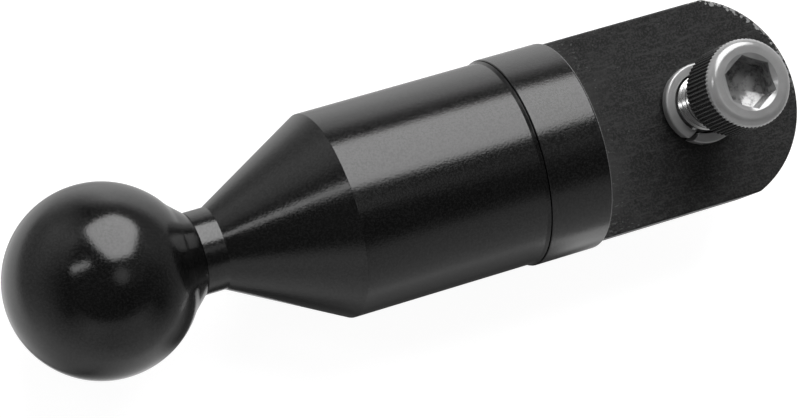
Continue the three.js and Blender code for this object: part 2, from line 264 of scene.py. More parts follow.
def mesh_of(name, grids, place=(0, 0, 0)):
    """One closed mesh from grids of points that meet at their edges."""
    points, faces = [], []
    for grid in grids:
        rows, columns = grid.shape[:2]
        first = len(points)
        points.extend((grid.reshape(-1, 3) + np.array(place)) * MM)
        index = np.arange(rows * columns).reshape(rows, columns) + first
        quads = np.stack([index[:-1, :-1], index[:-1, 1:], index[1:, 1:], index[1:, :-1]], axis=2)
        faces.extend(quads.reshape(-1, 4).tolist())
    mesh = bpy.data.meshes.new(name)
    mesh.from_pydata([tuple(point) for point in points], [], faces)
    clean(mesh)
    return mesh


def clean(mesh):
    """Joins the points that coincide and turns every face outward."""
    made = bmesh.new()
    made.from_mesh(mesh)
    bmesh.ops.remove_doubles(made, verts=made.verts, dist=2e-7)
    bmesh.ops.dissolve_degenerate(made, edges=made.edges, dist=1e-8)
    bmesh.ops.recalc_face_normals(made, faces=made.faces)
    made.to_mesh(mesh)
    made.free()


def cut(mesh, cutter, operation="DIFFERENCE"):
    """The mesh with another cut from it or joined to it."""
    body = bpy.data.objects.new("work", mesh)
    tool = bpy.data.objects.new("tool", cutter)
    for thing in (body, tool):
        bpy.context.scene.collection.objects.link(thing)
    boolean = body.modifiers.new("cut", "BOOLEAN")
    boolean.operation = operation
    boolean.object = tool
    boolean.solver = "EXACT"
    bpy.context.view_layer.update()
    seen = body.evaluated_get(bpy.context.evaluated_depsgraph_get())
    result = bpy.data.meshes.new_from_object(seen)
    bpy.data.objects.remove(body)
    bpy.data.objects.remove(tool)
    return result


def piece(node, mesh, material, body, sharp=35, beyond=None):
    """Shows a mesh in place of a CAD node, smooth except at its sharp edges.

    Beyond is another material and the x past which it takes over.
    """
    thing = bpy.data.objects.new(node + "_fine", mesh)
    bpy.context.scene.collection.objects.link(thing)
    mesh.materials.clear()
    mesh.materials.append(material)
    if beyond:
        mesh.materials.append(beyond[0])
    for face in mesh.polygons:
        face.use_smooth = True
        face.material_index = int(bool(beyond) and face.center.x > beyond[1] * MM)
    mesh.set_sharp_from_angle(angle=math.radians(sharp))
    weighted = thing.modifiers.new("weighted", "WEIGHTED_NORMAL")
    weighted.keep_sharp = True
    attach(thing, body)
    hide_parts(node)
    return thing


# ---------------------------------------------------------------- materials

class Nodes:
    """Short calls that add nodes to a tree and join them."""

    def __init__(self, tree):
        self.nodes = tree.nodes
        self.links = tree.links
        self.nodes.clear()

    def add(self, kind, **inputs):
        node = self.nodes.new(kind)
        for socket, value in inputs.items():
            self.put(node.inputs[socket.replace("_", " ")], value)
        return node

    def put(self, socket, value):
        """Feeds an input from another node's output, or sets it."""
        if isinstance(value, bpy.types.NodeSocket):
            self.links.new(value, socket)
        else:
            socket.default_value = value

    def math(self, operation, first, second=0.0):
        node = self.nodes.new("ShaderNodeMath")
        node.operation = operation
        self.put(node.inputs[0], first)
        self.put(node.inputs[1], second)
        return node.outputs[0]

    def wrapped(self, value, low, high):
        node = self.nodes.new("ShaderNodeMath")
        node.operation = "WRAP"
        for socket, given in zip(node.inputs, (value, high, low)):
            self.put(socket, given)
        return node.outputs[0]

    def distance(self, across, along):
        """The length of a vector from its two parts."""
        squares = self.math("ADD", self.math("POWER", across, 2.0), self.math("POWER", along, 2.0))
        return self.math("SQRT", squares)

    def dot(self, vector, other):
        node = self.nodes.new("ShaderNodeVectorMath")
        node.operation = "DOT_PRODUCT"
        self.links.new(vector, node.inputs[0])
        node.inputs[1].default_value = other
        return node.outputs["Value"]

    def axes(self, vector):
        node = self.nodes.new("ShaderNodeSeparateXYZ")
        self.links.new(vector, node.inputs[0])
        return node.outputs

    def vector(self, x, y, z):
        node = self.nodes.new("ShaderNodeCombineXYZ")
        for socket, value in zip(node.inputs, (x, y, z)):
            self.put(socket, value)
        return node.outputs[0]

    def ramp(self, value, low, high, out_low=0.0, out_high=1.0, smooth=True):
        """A value taken from one range to another, and held at its ends."""
        node = self.nodes.new("ShaderNodeMapRange")
        node.interpolation_type = "SMOOTHSTEP" if smooth else "LINEAR"
        self.links.new(value, node.inputs["Value"])
        node.inputs["From Min"].default_value = low
        node.inputs["From Max"].default_value = high
        self.put(node.inputs["To Min"], out_low)
        self.put(node.inputs["To Max"], out_high)
        return node.outputs["Result"]

    def profile(self, degrees, stops):
        """A value read off straight lines between (degrees, value) stops, from -90 to 90."""
        node = self.nodes.new("ShaderNodeValToRGB")
        marks = node.color_ramp.elements
        while len(marks) < len(stops):
            marks.new(0.5)
        for mark, (angle, value) in zip(marks, stops):
            mark.position = (angle + 90) / 180
            mark.color = grey(value)
        self.links.new(self.ramp(degrees, -90, 90, smooth=False), node.inputs["Fac"])
        return node.outputs["Color"]

    def mix(self, share, first, second):
        node = self.nodes.new("ShaderNodeMix")
        node.data_type = "RGBA"
        self.put(node.inputs["Factor"], share)
        self.put(node.inputs[6], first)
        self.put(node.inputs[7], second)
        return node.outputs[2]

    def noise(self, vector, scale=1.0, detail=2.0, roughness=0.5):
        node = self.add("ShaderNodeTexNoise", Vector=vector, Scale=scale, Detail=detail, Roughness=roughness)
        return node.outputs[0]

    def bump(self, height, depth, onto=None):
        """Relief of a depth in millimetres, added to the relief so far."""
        node = self.add("ShaderNodeBump", Height=height, Distance=depth * MM, Strength=1.0)
        if onto is not None:
            self.links.new(onto, node.inputs["Normal"])
        return node.outputs["Normal"]


class Surface(Nodes):
    """A Principled material, with the position in the part's frame as its place."""

    def __init__(self, name, **constants):
        self.material = bpy.data.materials.new(name)
        self.material.use_nodes = True
        super().__init__(self.material.node_tree)
        self.shader = self.add("ShaderNodeBsdfPrincipled", **constants)
        output = self.add("ShaderNodeOutputMaterial")
        self.links.new(self.shader.outputs["BSDF"], output.inputs["Surface"])
        self.place = self.add("ShaderNodeTexCoord").outputs["Object"]

    def stretched(self, x, y, z):
        """The place multiplied along each axis."""
        node = self.add("ShaderNodeMapping", Vector=self.place, Scale=(x, y, z))
        return node.outputs["Vector"]

    def from_screw(self):
        """How far the place lies from the cap screw's axis."""
        x, y, _ = self.axes(self.place)
        return self.distance(self.math("SUBTRACT", x, SCREW_X * MM), y)

    def finish(self, **inputs):
        for socket, value in inputs.items():
            self.put(self.shader.inputs[socket.replace("_", " ")], value)
        return self.material


def grey(level):
    return (level, level, level, 1.0)


EDGE_HIGHLIGHT_LENGTH = (0.30, 0.14)  # how far before the collar's end the painted highlight line starts and is full
EDGE_HIGHLIGHT_DEPTH = (0.35, 0.2)  # how far inside the collar's outside it starts and is full


def gloss_black(name, roughness, lines, grain, ior=1.57, shade=0.005, painted_edge_highlight=False):
    """Black anodised aluminium as it comes from the lathe: fine rings and a faint grain.

    The metal shows through the finish in specks, which dulls its mirror a little where they lie.
    On the collar a lighter line is painted along the edge beside the tongue, a painted highlight.
    """
    surface = Surface(name, IOR=ior)
    rings = surface.noise(surface.stretched(5200, 90, 90), detail=3)
    specks = surface.noise(surface.place, scale=3800, detail=2, roughness=0.5)
    clouds = surface.noise(surface.place, scale=160, detail=4)
    relief = surface.bump(rings, lines)
    relief = surface.bump(specks, grain, relief)
    tint = surface.mix(surface.ramp(clouds, 0.3, 0.7), grey(shade * 0.5), grey(shade * 0.8))
    tint = surface.mix(surface.ramp(specks, 0.4, 0.7), tint, grey(shade * 1.6))
    # Painted highlight: the collar's rounded edge beside the tongue is painted lighter, for the glint it
    # catches
    if painted_edge_highlight:
        x, y, z = surface.axes(surface.place)
        out = surface.distance(y, z)
        at_end = surface.ramp(x, *[(COLLAR_END - length) * MM for length in EDGE_HIGHLIGHT_LENGTH])
        at_rim = surface.ramp(out, *[(BAR_RADIUS - depth) * MM for depth in EDGE_HIGHLIGHT_DEPTH])
        edge = surface.math("MULTIPLY", at_end, at_rim)
        edge = surface.math("MULTIPLY", edge, surface.ramp(clouds, 0.3, 0.6, 0.6, 1.0))
        tint = surface.mix(edge, tint, grey(0.16))
    bare = surface.ramp(specks, 0.36, 0.6, 0.15, 0.0)
    rough = surface.ramp(specks, 0.25, 0.75, roughness * 0.8, roughness * 1.25)
    return surface.finish(Base_Color=tint, Metallic=bare, Roughness=rough, Normal=relief)


def milled_black():
    """Matte black on the milled tongue, with a coarse grain, swirls, and chips along its front rim."""
    surface = Surface("black_anodised_milled", IOR=1.38)
    x, y, z = surface.axes(surface.place)
    grains = surface.noise(surface.place, scale=3600, detail=3, roughness=0.6)
    swirl = surface.noise(surface.stretched(500, 2800, 900), detail=4, roughness=0.65)
    clouds = surface.noise(surface.place, scale=220, detail=5)
    relief = surface.bump(swirl, 0.008)
    relief = surface.bump(grains, 0.012, relief)

    # Bright flakes where the finish has chipped along the front edge of the round end, toward +Y
    inward = surface.math("SUBTRACT", TONGUE_TIP_RADIUS * MM, surface.from_screw())
    near_rim = surface.ramp(inward, 0.3 * MM, 1.8 * MM, 1.0, 0.0)
    flakes = surface.noise(surface.place, scale=1500, detail=3, roughness=0.6)
    upper = surface.math("MULTIPLY", surface.ramp(y, -4 * MM, 4 * MM), surface.ramp(x, 82 * MM, 88 * MM))
    front = surface.ramp(z, (TONGUE_HALF_THICKNESS - 1.4) * MM, (TONGUE_HALF_THICKNESS - 0.2) * MM)
    flakes = surface.math("MULTIPLY", surface.math("MULTIPLY", near_rim, flakes), front)
    chips = surface.math("MULTIPLY", surface.ramp(flakes, 0.48, 0.54), upper)

    # Fine bright scuffs, thickest beside the collar
    scuffs = surface.noise(surface.stretched(1700, 3400, 1700), detail=3, roughness=0.6)
    beside_collar = surface.ramp(x, COLLAR_END * MM, (COLLAR_END + 7) * MM, 0.53, 0.66, smooth=False)
    worn = surface.ramp(surface.math("SUBTRACT", scuffs, beside_collar), 0.0, 0.08)

    dusty = surface.ramp(x, COLLAR_END * MM, (COLLAR_END + 9) * MM, 0.040, 0.007, smooth=False)
    shade = surface.mix(surface.ramp(clouds, 0.3, 0.7), grey(0.004), surface.vector(dusty, dusty, dusty))
    shade = surface.mix(surface.ramp(grains, 0.40, 0.70), shade, grey(0.032))
    shade = surface.mix(surface.ramp(swirl, 0.5, 0.7), shade, grey(0.035))
    shade = surface.mix(worn, shade, grey(0.07))
    shade = surface.mix(chips, shade, grey(0.35))
    rough = surface.ramp(swirl, 0.3, 0.7, 0.36, 0.55)
    return surface.finish(Base_Color=shade, Roughness=rough, Metallic=chips, Normal=relief)


def machined(name, dark, light, roughness, round_screw=False, metallic=1.0):
    """Metal with fine tool lines: round the screw's axis, or else round the rod."""
    surface = Surface(name, Metallic=metallic)
    if round_screw:
        _, _, z = surface.axes(surface.place)
        out = surface.from_screw()
        outward = surface.math("MULTIPLY", out, 5000.0)
        lines = surface.noise(surface.vector(outward, 0.0, surface.math("MULTIPLY", z, 3000.0)), detail=3)
    else:
        lines = surface.noise(surface.stretched(6000, 120, 120), detail=3)
    smudges = surface.noise(surface.place, scale=420, detail=5, roughness=0.6)
    relief = surface.bump(lines, 0.0012)
    shade = surface.mix(surface.ramp(smudges, 0.3, 0.7), dark, light)
    if round_screw:
        underside = SCREW_HIGH.z - SCREW_HEAD_HEIGHT
        below_head = surface.ramp(z, (underside - 0.2) * MM, underside * MM, 1.0, 0.0)
        within_hole = surface.ramp(out, 3.92 * MM, 4.02 * MM, 1.0, 0.0)
        thread = surface.math("MULTIPLY", below_head, within_hole)
        shade = surface.mix(thread, shade, grey(0.62))
        # Painted shade on the knurled side of the head and down the walls of the socket
        shade = surface.mix(painted_screw_shade(surface, out, z), shade, grey(0.03))
        metal = surface.math("MAXIMUM", thread, metallic)
        surface.put(surface.shader.inputs["Metallic"], metal)
    rough = surface.ramp(smudges, 0.25, 0.75, roughness * 0.75, roughness * 1.3)
    return surface.finish(Base_Color=shade, Roughness=rough, Normal=relief)


def painted_screw_shade(surface, out, z):
    """How much painted shade darkens the screw's knurled side, most in its grooves, and the walls of its
    socket, there in blotches.
    """
    top = SCREW_HIGH.z
    blots = surface.noise(surface.place, scale=1100, detail=4, roughness=0.65)
    on_side = surface.ramp(out, (SCREW_HEAD_RADIUS - 0.32) * MM, (SCREW_HEAD_RADIUS - 0.22) * MM)
    groove = surface.ramp(out, (SCREW_HEAD_RADIUS - 0.12) * MM, SCREW_HEAD_RADIUS * MM, 1.0, 0.75)
    below_rim = surface.ramp(z, (top - 1.30) * MM, (top - 1.15) * MM, 1.0, 0.0)
    knurl = surface.math("MULTIPLY", surface.math("MULTIPLY", on_side, below_rim), groove)
    within = surface.ramp(out, 3.68 * MM, 3.76 * MM, 1.0, 0.0)
    above_floor = surface.ramp(z, (top - 5.6) * MM, (top - 5.4) * MM)
    below_face = surface.ramp(z, (top - 0.9) * MM, (top - 0.3) * MM, 1.0, 0.0)
    socket = surface.math("MULTIPLY", surface.math("MULTIPLY", within, above_floor), below_face)
    socket = surface.math("MULTIPLY", socket, surface.ramp(blots, 0.44, 0.66, 0.05, 0.65))
    return surface.math("MAXIMUM", knurl, socket)


def moulded(name, dark, light, roughness, grain):
    """Plastic or rubber with a soft mottle and a fine grain."""
    surface = Surface(name)
    mottle = surface.noise(surface.place, scale=300, detail=4)
    fine = surface.noise(surface.place, scale=6000, detail=2)
    shade = surface.mix(surface.ramp(mottle, 0.3, 0.7), dark, light)
    rough = surface.ramp(fine, 0.25, 0.75, roughness * 0.85, roughness * 1.15)
    return surface.finish(Base_Color=shade, Roughness=rough, Normal=surface.bump(fine, grain))


BALL_BLACK = gloss_black("black_anodised_ball", 0.15, 0.00025, 0.010)
CONE_BLACK = gloss_black("black_anodised_cone", 0.17, 0.0006, 0.013, ior=1.62)
BARREL_BLACK = gloss_black("black_anodised_barrel", 0.17, 0.0006, 0.013)
COLLAR_BLACK = gloss_black("black_anodised_collar", 0.17, 0.0006, 0.013, shade=0.007, painted_edge_highlight=True)
TONGUE_BLACK = milled_black()
SCREW_STEEL = machined("bare_steel_screw", grey(0.36), grey(0.40), 0.2, round_screw=True, metallic=0.4)
TURNED_STEEL = machined("bare_steel_turned", grey(0.42), grey(0.55), 0.25)
DARK_STEEL = machined("dark_steel_turned", grey(0.09), grey(0.15), 0.35)
BALL_STEEL = machined("bearing_steel_polished", grey(0.52), grey(0.6), 0.1)
BRONZE = machined("bronze_turned", (0.36, 0.20, 0.07, 1), (0.48, 0.29, 0.11, 1), 0.3)
ACETAL = moulded("acetal_moulded", (0.72, 0.71, 0.66, 1), (0.80, 0.79, 0.74, 1), 0.45, 0.0006)
NITRILE = moulded("nitrile_rubber", (0.012, 0.012, 0.012, 1), (0.022, 0.022, 0.022, 1), 0.6, 0.001)


# ---------------------------------------------------------------- ball and barrel

def ball_end():
    hole_start = STUD_LOW.x - STUD_HOLE_MARGIN
    taper = math.radians(BALL_TAPER_ANGLE)
    before = math.radians(BALL_TAPER_ANGLE + 6)
    outline = rounded([
        (hole_start, 0),
        (hole_start + 0.7, STUD_HOLE_RADIUS),
        (BALL_END + SEAM, STUD_HOLE_RADIUS),
        (BALL_END + SEAM, NECK_RADIUS, 0.04),
        (BALL_RADIUS * math.cos(taper), BALL_RADIUS * math.sin(taper), 6),
        (BALL_RADIUS * math.cos(before), BALL_RADIUS * math.sin(before)),
    ], step=3)
    outline += arc(0, 0, BALL_RADIUS, BALL_TAPER_ANGLE + 6, 180, 96)[1:]
    return mesh_of("ball_end_fine", [turned(outline, FINE)])


def barrel_housing():
    start = BARREL_LOW.x - SEAM
    gland_seat = GLAND_LOW.x - FIT
    gland_bore = GLAND_HIGH.y + FIT
    hole_end = STUD_HIGH.x + STUD_HOLE_MARGIN
    outline = rounded([
        (start, STUD_HOLE_RADIUS),
        (hole_end - 0.7, STUD_HOLE_RADIUS),
        (hole_end, 0),
        (BORE_START, 0),
        (BORE_START, BORE_RADIUS, 0.4),
        (gland_seat, BORE_RADIUS, 0.1),
        (gland_seat, gland_bore, 0.1),
        (BARREL_HIGH.x + SEAM, gland_bore, 0.15),
        (BARREL_HIGH.x + SEAM, BARREL_HIGH.y, 0.05),
        (LIP_START + 0.2, BARREL_RADIUS, 0.15),
        (CONE_END, BARREL_RADIUS, 0.25),
        (CONE_START, NECK_RADIUS, 0.15),
        (start, NECK_RADIUS, 0.05),
    ])
    return mesh_of("barrel_housing_fine", [turned(outline, FINE)])


def ball_stud():
    start, end = STUD_LOW.x, STUD_HIGH.x
    low, high = start + STUD_CHAMFER, end - STUD_CHAMFER
    crest = STUD_HIGH.y
    shape = (crest, crest - STUD_THREAD_DEPTH, STUD_THREAD_PITCH, COARSE)
    tip = crest - STUD_CHAMFER
    grids = [
        upright([(0, start), (tip, start), (thread_edge(low, *shape), low)], COARSE),
        threaded(low, high, *shape),
        upright([(thread_edge(high, *shape), high), (tip, end), (0, end)], COARSE),
    ]
    return mesh_of("ball_stud_fine", [along_rod(grid) for grid in grids])


piece("ball_end", ball_end(), BALL_BLACK, "barrel")
piece(
    "barrel_housing",
    barrel_housing(),
    CONE_BLACK,
    "barrel",
    beyond=(BARREL_BLACK, CONE_END),
)
piece("ball_stud", ball_stud(), DARK_STEEL, "barrel")


# ---------------------------------------------------------------- spindle, springs and bearing

def ring(low, high, hole, rounding=0.15):
    outline = rounded([
        (low.x, hole, rounding),
        (high.x, hole, rounding),
        (high.x, high.y, rounding),
        (low.x, high.y, rounding),
    ])
    return turned(outline)


def disc_spring(node, faces_back):
    low, high = span(node)
    inner, outer = (high.x - DISC_THICKNESS, low.x) if faces_back else (low.x, high.x - DISC_THICKNESS)
    outline = rounded([
        (inner, DISC_HOLE_RADIUS, 0.15),
        (inner + DISC_THICKNESS, DISC_HOLE_RADIUS, 0.15),
        (outer + DISC_THICKNESS, high.y, 0.15),
        (outer, high.y, 0.15),
    ])
    return mesh_of(node + "_fine", [turned(outline)])


def spindle():
    outline = rounded([
        (SPINDLE_LOW.x, 0),
        (SPINDLE_HIGH.x, 0),
        (SPINDLE_HIGH.x, SPINDLE_RADIUS - 0.6, 0.1),
        (SPINDLE_HIGH.x - 0.6, SPINDLE_RADIUS, 0.1),
        (SPINDLE_HEAD_END, SPINDLE_RADIUS, 0.3),
        (SPINDLE_HEAD_END, SPINDLE_HIGH.y, 0.3),
        (SPINDLE_HEAD_START, SPINDLE_HIGH.y, 0.3),
        (SPINDLE_HEAD_START, SPINDLE_TAIL_RADIUS, 0.3),
        (SPINDLE_LOW.x, SPINDLE_TAIL_RADIUS, 0.4),
    ])
    return mesh_of("spindle_fine", [turned(outline)])


def race(node, faces_on):
    """A thrust race, with its raceway on the side that faces the balls."""
    low, high = span(node)
    face, back = (high.x, low.x) if faces_on else (low.x, high.x)
    side = 1 if faces_on else -1
    offset = RACE_GROOVE_RADIUS - RACE_GROOVE_DEPTH
    half = math.degrees(math.acos(offset / RACE_GROOVE_RADIUS))
    middle = 180 if faces_on else 0
    first, last = middle + half * side, middle - half * side
    groove = arc(BEARING_CENTRE, BEARING_PITCH_RADIUS, RACE_GROOVE_RADIUS, first, last, 12)
    inner = [(back, RACE_HOLE_RADIUS, 0.25), (face, RACE_HOLE_RADIUS, 0.25)]
    outer = [(face, high.y, 0.25), (back, high.y, 0.25)]
    middle_points = [(x, out, 0) for x, out in groove]
    return mesh_of(node + "_fine", [turned(rounded(inner + middle_points + outer))])


def around(index, count, radius):
    """The y and z of a hole or ball round the rod's axis."""
    angle = TAU * index / count
    return radius * math.cos(angle), radius * math.sin(angle)


def cross_hole(low, high, radius, steps=32):
    """A round cutter along X, between two heights."""
    rows = [(0, low), (radius, low), (radius, high), (0, high)]
    return along_rod(upright(rows, steps))


def ball_cage():
    low, high = span("ball_cage")
    mesh = mesh_of("ball_cage_fine", [ring(low, high, CAGE_HOLE_RADIUS, 0.12)])
    for index in range(BEARING_BALLS):
        y, z = around(index, BEARING_BALLS, BEARING_PITCH_RADIUS)
        pocket = mesh_of("pocket", [cross_hole(low.x - 1, high.x + 1, CAGE_POCKET_RADIUS)], (0, y, z))
        mesh = cut(mesh, pocket)
    return mesh


def bearing_ball(node):
    low, high = span(node)
    centre = (low + high) / 2
    rows = arc(0, 0, (high.x - low.x) / 2, 0, 180, 24)
    return mesh_of(node + "_fine", [turned(rows, 48, closed=False)], centre)


def gland_ring():
    seat = BUSH_HIGH.y + FIT
    outline = rounded([
        (GLAND_LOW.x, seat, 0.1),
        (SEAL_POCKET_START, seat, 0.1),
        (SEAL_POCKET_START, SEAL_POCKET_RADIUS, 0.2),
        (GLAND_HIGH.x, SEAL_POCKET_RADIUS, 0.2),
        (GLAND_HIGH.x, GLAND_HIGH.y, 0.3),
        (GLAND_LOW.x, GLAND_HIGH.y, 0.3),
    ])
    mesh = mesh_of("gland_ring_fine", [turned(outline)])
    for index in range(4):
        y, z = around(index, 4, SPANNER_PITCH_RADIUS)
        hole = cross_hole(GLAND_HIGH.x - SPANNER_HOLE_DEPTH, GLAND_HIGH.x + 1, SPANNER_HOLE_RADIUS)
        mesh = cut(mesh, mesh_of("hole", [hole], (0, y, z)))
    return mesh


def seal_ring():
    cord = (SEAL_HIGH.x - SEAL_LOW.x) / 2
    outline = arc((SEAL_LOW.x + SEAL_HIGH.x) / 2, SEAL_HIGH.y - cord, cord, 0, 360, 32)[:-1]
    return mesh_of("seal_ring_fine", [turned(outline)])


def plain_ring(node, hole):
    low, high = span(node)
    return mesh_of(node + "_fine", [ring(low, high, hole)])


piece("rear_washer", plain_ring("rear_washer", REAR_WASHER_HOLE_RADIUS), ACETAL, "barrel")
for index in range(3):
    name = f"disc_spring_{index + 1}"
    piece(name, disc_spring(name, index % 2 == 0), DARK_STEEL, "tongue")
piece("spindle", spindle(), TURNED_STEEL, "tongue")
piece("shaft_race", race("shaft_race", True), BALL_STEEL, "tongue")
piece("housing_race", race("housing_race", False), BALL_STEEL, "barrel")
piece("ball_cage", ball_cage(), BRONZE, "bearing_cage")
for index in range(BEARING_BALLS):
    name = f"bearing_ball_{index + 1}"
    piece(name, bearing_ball(name), BALL_STEEL, "bearing_cage")
piece("gland_ring", gland_ring(), TURNED_STEEL, "barrel")
piece("spindle_bush", plain_ring("spindle_bush", BUSH_HOLE_RADIUS), BRONZE, "barrel")
piece("seal_ring", seal_ring(), NITRILE, "barrel")
piece("slip_washer", plain_ring("slip_washer", SLIP_HOLE_RADIUS), ACETAL, "barrel")


# ---------------------------------------------------------------- tongue end

TONGUE_EDGE = 0.25
TONGUE_CORNER = 1.6  # where the straight side runs into the round end


def tongue_plan(inset, start, steps=48):
    """The tongue's outline seen from above, a little inside its sides, from the collar round to it."""
    half_width = TONGUE_HALF_WIDTH - inset
    tip = TONGUE_TIP_RADIUS - inset
    middle_y = half_width - TONGUE_CORNER
    middle_x = SCREW_X + math.sqrt((tip - TONGUE_CORNER) ** 2 - middle_y ** 2)
    from_screw = math.atan2(middle_y, middle_x - SCREW_X)
    points = [(start + (middle_x - start) * part / 12, half_width) for part in range(12)]
    for part in range(9):
        angle = math.pi / 2 + (from_screw - math.pi / 2) * part / 8
        x = middle_x + TONGUE_CORNER * math.cos(angle)
        points.append((x, middle_y + TONGUE_CORNER * math.sin(angle)))
    for part in range(1, steps + 1):
        angle = from_screw * (1 - part / steps)
        points.append((SCREW_X + tip * math.cos(angle), tip * math.sin(angle)))
    return points + [(x, -y) for x, y in reversed(points[:-1])]


def tongue_slab():
    """The milled tongue with its rim softened, from inside the collar to its round end."""
    half = TONGUE_HALF_THICKNESS
    start = COLLAR_END - 4
    upper = []
    for degrees in (90, 67, 45, 22, 0):
        turn = math.radians(degrees)
        inset = TONGUE_EDGE * (1 - math.cos(turn))
        upper.append((half - TONGUE_EDGE * (1 - math.sin(turn)), inset))
    levels = upper + [(0, 0)] + [(-height, inset) for height, inset in reversed(upper)]
    made = bmesh.new()
    loops = []
    for height, inset in levels:
        plan = tongue_plan(inset, start)
        loops.append([made.verts.new((x * MM, y * MM, height * MM)) for x, y in plan])
    for above, below in zip(loops, loops[1:]):
        for index in range(len(above)):
            after = (index + 1) % len(above)
            made.faces.new((above[index], above[after], below[after], below[index]))
    made.faces.new(loops[0])
    made.faces.new(loops[-1])
    bmesh.ops.recalc_face_normals(made, faces=made.faces)
    mesh = bpy.data.meshes.new("tongue_slab")
    made.to_mesh(mesh)
    made.free()
    return mesh


def tapped_hole(low, high, crest, root, pitch, mouth, steps=COARSE):
    """A cutter for a threaded hole along Z, with a chamfered mouth at each end."""
    crest_low = thread_edge(low, crest, root, pitch, steps)
    crest_high = thread_edge(high, crest, root, pitch, steps)
    below = [(0, low - 2), (mouth, low - 2), (mouth, low - mouth + crest), (crest_low, low)]
    above = [(crest_high, high), (mouth, high + mouth - crest), (mouth, high + 2), (0, high + 2)]
    return [upright(below, steps), threaded(low, high, crest, root, pitch, steps), upright(above, steps)]


def tongue_end():
    collar = rounded([
        (COLLAR_LOW.x, 0),
        (COLLAR_END, 0),
        (COLLAR_END, BAR_RADIUS, 0.4),
        (COLLAR_LOW.x, BAR_RADIUS, 0.12),
    ])
    mesh = mesh_of("tongue_end_fine", [turned(collar, FINE)])
    mesh = cut(mesh, tongue_slab(), "UNION")
    bore_radius = SPINDLE_RADIUS + FIT
    bore = [
        (0, COLLAR_LOW.x - 1),
        (bore_radius + 0.4, COLLAR_LOW.x - 1),
        (bore_radius + 0.4, COLLAR_LOW.x + 0.05),
        (bore_radius, COLLAR_LOW.x + 0.45),
        (bore_radius, COLLAR_BORE_END),
        (0, COLLAR_BORE_END + 1.2),
    ]
    mesh = cut(mesh, mesh_of("bore", [along_rod(upright(bore, COARSE))]))
    half = TONGUE_HALF_THICKNESS
    hole = tapped_hole(
        -half + SCREW_HOLE_CHAMFER,
        half - SCREW_HOLE_CHAMFER,
        SCREW_HOLE_RADIUS + SCREW_HOLE_THREAD_DEPTH,
        SCREW_HOLE_RADIUS,
        SCREW_PITCH,
        SCREW_HOLE_RADIUS + SCREW_HOLE_CHAMFER,
    )
    mesh = cut(mesh, mesh_of("screw_hole", hole, (SCREW_X, 0, 0)))
    grub = [
        (0, -BAR_RADIUS - 1),
        (GRUB_RADIUS + 0.3, -BAR_RADIUS - 1),
        (GRUB_RADIUS + 0.3, -BAR_RADIUS + 0.2),
        (GRUB_RADIUS + FIT, -BAR_RADIUS + 0.4),
        (GRUB_RADIUS + FIT, -SPINDLE_RADIUS + 1),
        (0, -SPINDLE_RADIUS + 1),
    ]
    mesh = cut(mesh, mesh_of("grub_hole", [upright(grub, 48)], (GRUB_X, 0, 0)))
    clean(mesh)
    return mesh


def grub_screw():
    steps = 96
    outer, inner = GRUB_LOW.z, GRUB_HIGH.z
    flats = hexagon(GRUB_SOCKET_FLATS, steps)
    root = GRUB_RADIUS - 0.25
    rows_below = [
        (0, outer + GRUB_SOCKET_DEPTH + 0.3),
        (flats, outer + GRUB_SOCKET_DEPTH),
        (flats, outer + (GRUB_SOCKET_MOUTH - flats) * 0.6),
        (GRUB_SOCKET_MOUTH, outer),
        (GRUB_RADIUS - 0.3, outer),
        (thread_edge(outer + 0.3, GRUB_RADIUS, root, GRUB_THREAD_PITCH, steps), outer + 0.3),
    ]
    rows_above = [
        (thread_edge(inner - 0.9, GRUB_RADIUS, root, GRUB_THREAD_PITCH, steps), inner - 0.9),
        (1.2, inner - 0.2),
        (1.0, inner),
        (0.8, inner),
        (0, inner - 0.6),
    ]
    grids = [
        upright(rows_below, steps),
        threaded(outer + 0.3, inner - 0.9, GRUB_RADIUS, root, GRUB_THREAD_PITCH, steps),
        upright(rows_above, steps),
    ]
    return mesh_of("grub_screw_fine", grids, (GRUB_X, 0, 0))


piece(
    "tongue_end",
    tongue_end(),
    COLLAR_BLACK,
    "tongue",
    sharp=30,
    beyond=(TONGUE_BLACK, COLLAR_END + 0.01),
)
piece("grub_screw", grub_screw(), DARK_STEEL, "tongue")


# ---------------------------------------------------------------- cap screw and lock washer

KNURL_TEETH = 66
KNURL_DEPTH = 0.17
HEAD_ROUNDING = 1.3
COUNTERSINK_RADIUS = 3.78


def cap_screw():
    """Modelled with z = 0 at the underside of the head."""
    steps = 4 * KNURL_TEETH
    head = SCREW_HEAD_RADIUS
    top = SCREW_HEAD_HEIGHT
    tip = SCREW_LOW.z - (SCREW_HIGH.z - top)
    root = SCREW_RADIUS - SCREW_THREAD_DEPTH
    thread_start = tip + SCREW_TIP_CHAMFER
    tooth = np.abs((np.arange(steps + 1) / 4 % 1) * 2 - 1)
    knurl = head - KNURL_DEPTH * tooth
    flats = hexagon(SCREW_SOCKET_FLATS, steps)

    shank_end = [
        (0, tip),
        (SCREW_RADIUS - 0.75, tip),
        (thread_edge(thread_start, SCREW_RADIUS, root, SCREW_PITCH, steps), thread_start),
    ]
    under = -0.35
    rows = [
        (thread_edge(under, SCREW_RADIUS, root, SCREW_PITCH, steps), under),
        (SCREW_RADIUS - 0.2, 0),
        (head - 0.35, 0),
        (head - 0.2, 0.15),
        (knurl, 0.25),
        (knurl, top - HEAD_ROUNDING * 0.9),
    ]
    for angle in range(10, 91, 8):
        turn = math.radians(angle)
        rim = head - HEAD_ROUNDING * (1 - math.cos(turn))
        rows.append((np.minimum(rim, knurl), top - HEAD_ROUNDING * (1 - math.sin(turn))))
    rows += [
        (COUNTERSINK_RADIUS + 0.05, top),
        (COUNTERSINK_RADIUS, top - 0.03),
        (flats, top - (COUNTERSINK_RADIUS - flats) * 0.6),
        (flats, top - SCREW_SOCKET_DEPTH),
        (flats * 0.9, top - SCREW_SOCKET_DEPTH - 0.1),
        (0, top - SCREW_SOCKET_DEPTH - 0.9),
    ]
    grids = [
        upright(shank_end, steps),
        threaded(thread_start, under, SCREW_RADIUS, root, SCREW_PITCH, steps),
        upright(rows, steps),
    ]
    return mesh_of("cap_screw_fine", grids, (SCREW_X, 0, SCREW_HIGH.z - top))


